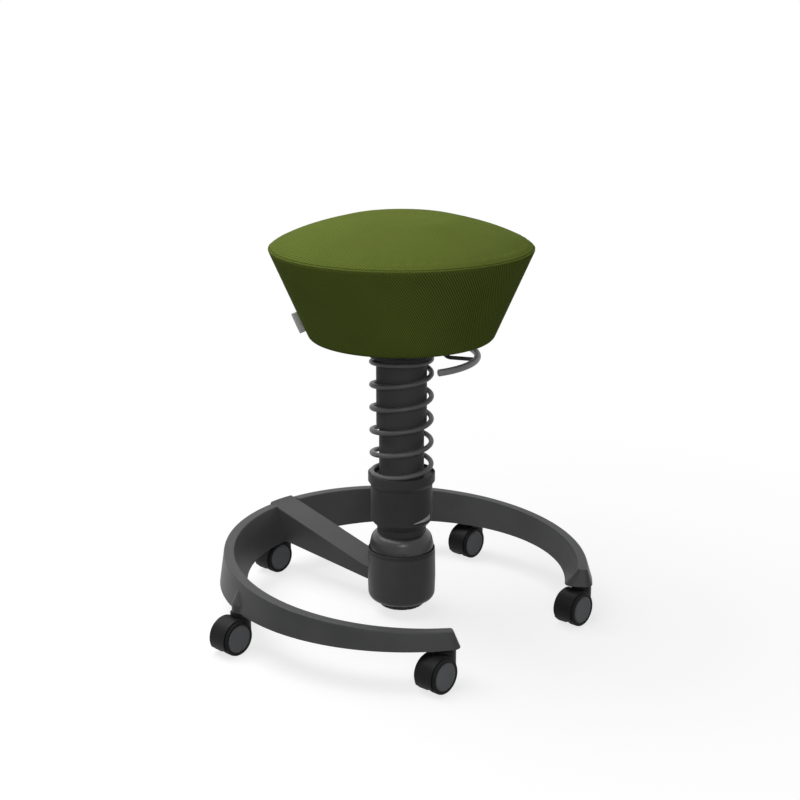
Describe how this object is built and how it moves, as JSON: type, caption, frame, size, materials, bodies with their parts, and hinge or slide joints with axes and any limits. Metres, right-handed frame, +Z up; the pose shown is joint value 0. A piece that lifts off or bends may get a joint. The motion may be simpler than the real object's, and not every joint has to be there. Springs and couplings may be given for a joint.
{
  "type": "active sitting stool",
  "caption": "Active stool with a round cone-sided padded seat on a sprung, tilting telescopic column, carried by a sloping arm in an open foot ring on castors.",
  "frame": {"origin": "on the floor under the column axis", "axes": "+Z up; the arm runs back along +Y and the foot ring is open to the front, toward -Y"},
  "size_m": [0.6141, 0.5501, 0.642],
  "materials": {
    "coated_frame": "satin dark coat",
    "black_plastic": "satin moulded",
    "coated_steel": "satin dark coat",
    "bright_steel": "zinc plated",
    "tread": "soft tread",
    "joint_elastomer": "moulded",
    "cover_cloth": "green twill",
    "cushion": "open foam",
    "tag_cloth": "pale woven, blank",
    "board": "plywood"
  },
  "bodies": {
    "base": {"foot_ring": "coated_frame", "support_arm": "coated_frame", "arm_bolts": "bright_steel", "joint_ring": "black_plastic", "joint_retainer": "coated_frame"},
    "knob": {"adjuster_knob": "black_plastic"},
    "plate": {"pressure_plate": "coated_frame"},
    "rubber": {"joint_rubber": "joint_elastomer"},
    "column": {"pivot_stud": "coated_frame", "dome_cover": "black_plastic", "lower_tube": "coated_steel", "scale_sleeve": "black_plastic", "coil_spring": "coated_steel"},
    "collar": {"tension_collar": "black_plastic"},
    "bounce": {"upper_tube": "coated_steel", "guide_bush": "black_plastic", "guide_core": "coated_frame", "spring_plate": "black_plastic", "gas_cylinder": "coated_steel"},
    "lift": {"gas_rod": "bright_steel", "seat_cone": "coated_steel"},
    "pin": {"release_pin": "bright_steel"},
    "seat": {"swivel_bush": "black_plastic", "swivel_cup": "coated_steel", "seat_pan": "board", "pan_screws": "bright_steel", "seat_shell": "black_plastic", "seat_foam": "cushion", "seat_top_cover": "cover_cloth", "seat_side_cover": "cover_cloth", "seat_tag": "tag_cloth", "lever_pin": "bright_steel"},
    "lever": {"lever_rod": "coated_steel", "lever_grip": "black_plastic"},
    "castor_1": {"castor_1_hood": "black_plastic", "castor_1_stem": "bright_steel", "castor_1_axle": "bright_steel"},
    "castor_1_left": {"castor_1_wheel_left": "tread"},
    "castor_1_right": {"castor_1_wheel_right": "tread"},
    "castor_2": {"castor_2_hood": "black_plastic", "castor_2_stem": "bright_steel", "castor_2_axle": "bright_steel"},
    "castor_2_left": {"castor_2_wheel_left": "tread"},
    "castor_2_right": {"castor_2_wheel_right": "tread"},
    "castor_3": {"castor_3_hood": "black_plastic", "castor_3_stem": "bright_steel", "castor_3_axle": "bright_steel"},
    "castor_3_left": {"castor_3_wheel_left": "tread"},
    "castor_3_right": {"castor_3_wheel_right": "tread"},
    "castor_4": {"castor_4_hood": "black_plastic", "castor_4_stem": "bright_steel", "castor_4_axle": "bright_steel"},
    "castor_4_left": {"castor_4_wheel_left": "tread"},
    "castor_4_right": {"castor_4_wheel_right": "tread"},
    "castor_5": {"castor_5_hood": "black_plastic", "castor_5_stem": "bright_steel", "castor_5_axle": "bright_steel"},
    "castor_5_left": {"castor_5_wheel_left": "tread"},
    "castor_5_right": {"castor_5_wheel_right": "tread"}
  },
  "joints": [
    {"name": "tilt_side", "type": "hinge", "parent": "base", "child": "rubber", "pos_m": [0, 0, 0.105], "axis": [0, 1, 0], "range_deg": [-8, 8], "stiffness_Nm_per_rad": 350},
    {"name": "tilt_front", "type": "hinge", "parent": "rubber", "child": "column", "pos_m": [0, 0, 0.105], "axis": [1, 0, 0], "range_deg": [-8, 8], "stiffness_Nm_per_rad": 350},
    {"name": "knob_turn", "type": "hinge", "parent": "base", "child": "knob", "pos_m": [0, 0, 0.016], "axis": [0, 0, 1], "range_deg": [0, 360]},
    {"name": "plate_rise", "type": "slide", "parent": "base", "child": "plate", "axis": [0, 0, 1], "range_m": [0, 0.0015]},
    {"name": "collar_turn", "type": "hinge", "parent": "column", "child": "collar", "pos_m": [0, 0, 0.22], "axis": [0, 0, 1], "range_deg": [-360, 360]},
    {"name": "bounce", "type": "slide", "parent": "column", "child": "bounce", "axis": [0, 0, 1], "range_m": [-0.06, 0], "stiffness_N_per_m": 12000, "springref_m": 0.02, "deforming": ["coil_spring"]},
    {"name": "lift", "type": "slide", "parent": "bounce", "child": "lift", "axis": [0, 0, 1], "range_m": [-0.1, 0], "stiffness_N_per_m": 500, "springref_m": 0.6},
    {"name": "pin_press", "type": "slide", "parent": "lift", "child": "pin", "axis": [0, 0, 1], "range_m": [-0.0035, 0], "stiffness_N_per_m": 500, "springref_m": 0.002},
    {"name": "seat_swivel", "type": "hinge", "parent": "lift", "child": "seat", "pos_m": [0, 0, 0.5], "axis": [0, 0, 1], "continuous": true},
    {"name": "lever_pull", "type": "hinge", "parent": "seat", "child": "lever", "pos_m": [0.0169, -0.03625, 0.54104], "axis": [-0.9063, -0.4226, 0], "range_deg": [0, 5], "stiffness_Nm_per_rad": 2, "springref_deg": -5.73},
    {"name": "castor_1_swivel", "type": "hinge", "parent": "base", "child": "castor_1", "pos_m": [0.16223, -0.23319, 0.06], "axis": [0, 0, 1], "continuous": true},
    {"name": "castor_1_left_roll", "type": "hinge", "parent": "castor_1", "child": "castor_1_left", "pos_m": [0.14173, -0.23319, 0.0265], "axis": [0, 1, 0], "continuous": true},
    {"name": "castor_1_right_roll", "type": "hinge", "parent": "castor_1", "child": "castor_1_right", "pos_m": [0.14173, -0.23319, 0.0265], "axis": [0, 1, 0], "continuous": true},
    {"name": "castor_2_swivel", "type": "hinge", "parent": "base", "child": "castor_2", "pos_m": [0.272, 0.07848, 0.06], "axis": [0, 0, 1], "continuous": true},
    {"name": "castor_2_left_roll", "type": "hinge", "parent": "castor_2", "child": "castor_2_left", "pos_m": [0.2515, 0.07848, 0.0265], "axis": [0, 1, 0], "continuous": true},
    {"name": "castor_2_right_roll", "type": "hinge", "parent": "castor_2", "child": "castor_2_right", "pos_m": [0.2515, 0.07848, 0.0265], "axis": [0, 1, 0], "continuous": true},
    {"name": "castor_3_swivel", "type": "hinge", "parent": "base", "child": "castor_3", "pos_m": [0, 0.2761, 0.06], "axis": [0, 0, 1], "continuous": true},
    {"name": "castor_3_left_roll", "type": "hinge", "parent": "castor_3", "child": "castor_3_left", "pos_m": [-0.0205, 0.2761, 0.0265], "axis": [0, 1, 0], "continuous": true},
    {"name": "castor_3_right_roll", "type": "hinge", "parent": "castor_3", "child": "castor_3_right", "pos_m": [-0.0205, 0.2761, 0.0265], "axis": [0, 1, 0], "continuous": true},
    {"name": "castor_4_swivel", "type": "hinge", "parent": "base", "child": "castor_4", "pos_m": [-0.272, 0.07848, 0.06], "axis": [0, 0, 1], "continuous": true},
    {"name": "castor_4_left_roll", "type": "hinge", "parent": "castor_4", "child": "castor_4_left", "pos_m": [-0.2925, 0.07848, 0.0265], "axis": [0, 1, 0], "continuous": true},
    {"name": "castor_4_right_roll", "type": "hinge", "parent": "castor_4", "child": "castor_4_right", "pos_m": [-0.2925, 0.07848, 0.0265], "axis": [0, 1, 0], "continuous": true},
    {"name": "castor_5_swivel", "type": "hinge", "parent": "base", "child": "castor_5", "pos_m": [-0.16223, -0.23319, 0.06], "axis": [0, 0, 1], "continuous": true},
    {"name": "castor_5_left_roll", "type": "hinge", "parent": "castor_5", "child": "castor_5_left", "pos_m": [-0.18273, -0.23319, 0.0265], "axis": [0, 1, 0], "continuous": true},
    {"name": "castor_5_right_roll", "type": "hinge", "parent": "castor_5", "child": "castor_5_right", "pos_m": [-0.18273, -0.23319, 0.0265], "axis": [0, 1, 0], "continuous": true}
  ],
  "couplings": [
    {"joint": "plate_rise", "follows": "knob_turn", "m_per_rad": 0.00023873},
    {"joint": "pin_press", "follows": "lever_pull", "m_per_rad": -0.04}
  ]
}
